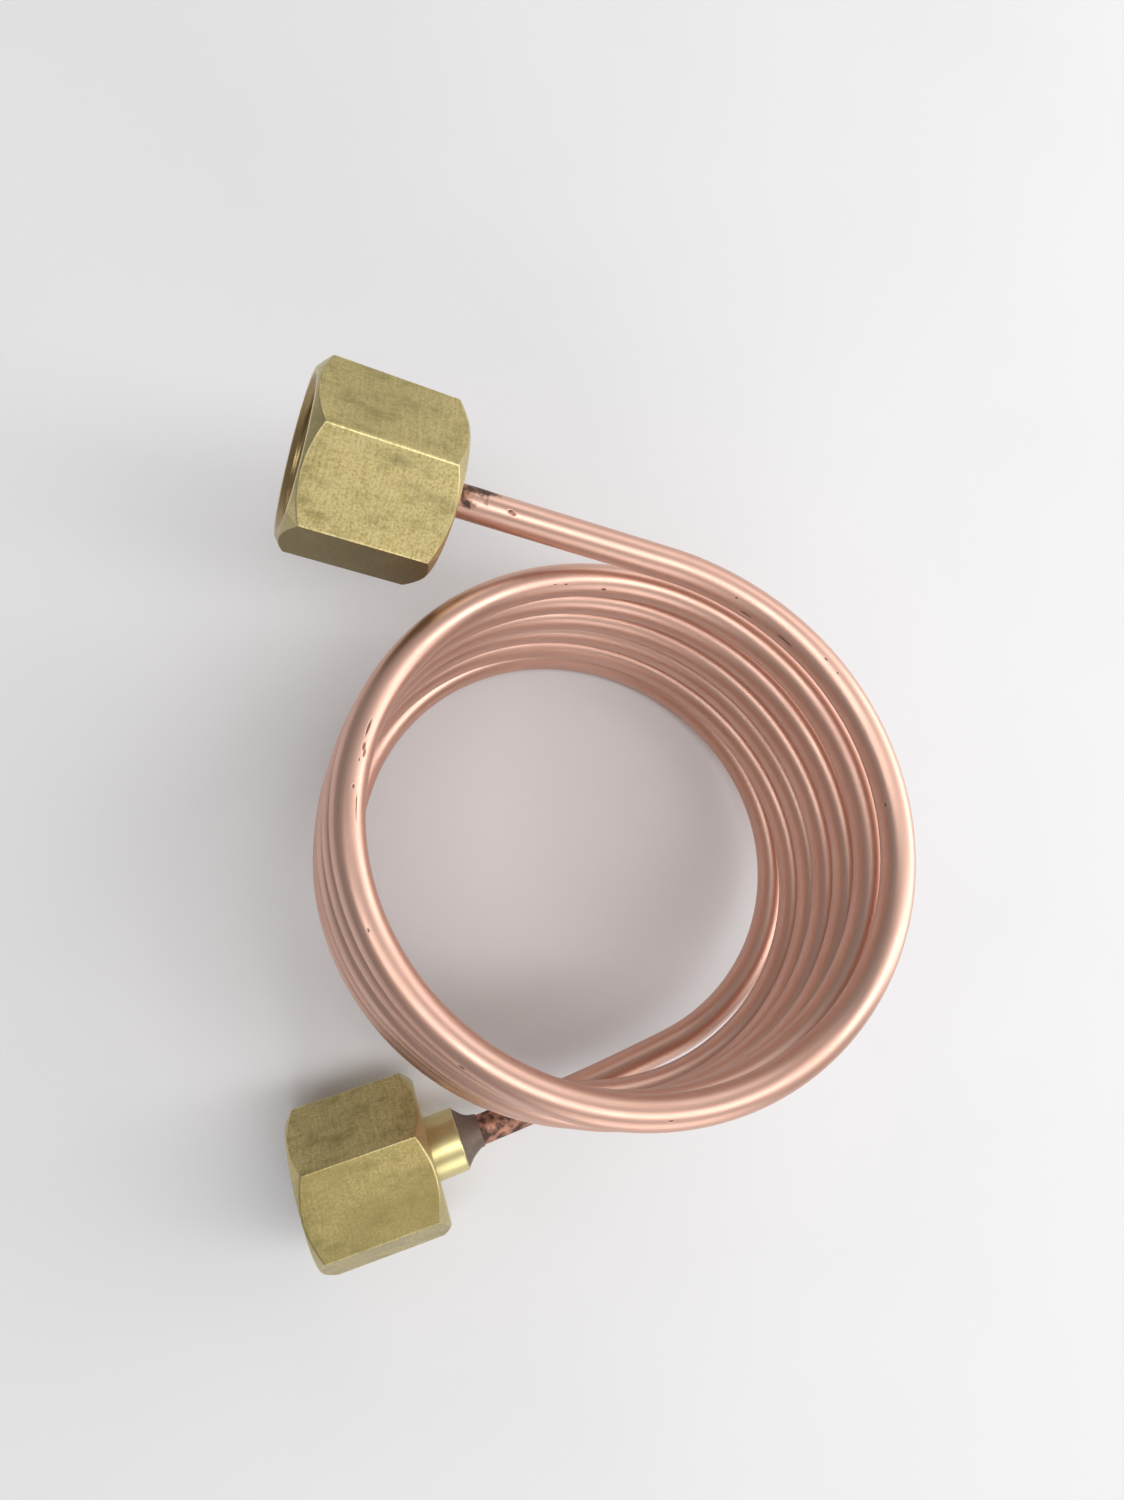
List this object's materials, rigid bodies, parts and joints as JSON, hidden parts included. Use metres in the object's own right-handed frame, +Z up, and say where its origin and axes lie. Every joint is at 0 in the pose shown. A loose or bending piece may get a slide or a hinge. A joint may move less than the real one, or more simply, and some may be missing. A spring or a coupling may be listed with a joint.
{
  "type": "copper tube coil with union nuts",
  "caption": "Helical coil of bright copper tube with a straight lead and a swivelling brass hexagon union nut at each end, for joining a gauge to a pressure line.",
  "frame": {"origin": "centre of the bounding box on the floor that the coil rests on", "axes": "+Z up from the floor, nearly along the coil's own axis, which leans a few degrees; both leads and their nuts point to -X, the upper one on the +Y side and the lower one on the -Y side"},
  "size_m": [0.0942, 0.1348, 0.0571],
  "materials": {
    "copper": "bright drawn copper",
    "brass": "machined brass, lightly tarnished",
    "braze": "oxidised braze filler"
  },
  "bodies": {
    "coil": {"copper_tube": "copper", "upper_tail": "brass", "upper_braze": "braze", "lower_tail": "brass", "lower_braze": "braze"},
    "upper_union": {"upper_nut": "brass"},
    "lower_union": {"lower_nut": "brass"}
  },
  "joints": [
    {"name": "upper_nut_spin", "type": "hinge", "parent": "coil", "child": "upper_union", "pos_m": [-0.02388, 0.05236, 0.03974], "axis": [-0.9693, 0.1517, 0.1933], "continuous": true},
    {"name": "lower_nut_spin", "type": "hinge", "parent": "coil", "child": "lower_union", "pos_m": [-0.01887, -0.04814, 0.012], "axis": [-0.9519, -0.3065, 0], "continuous": true}
  ]
}
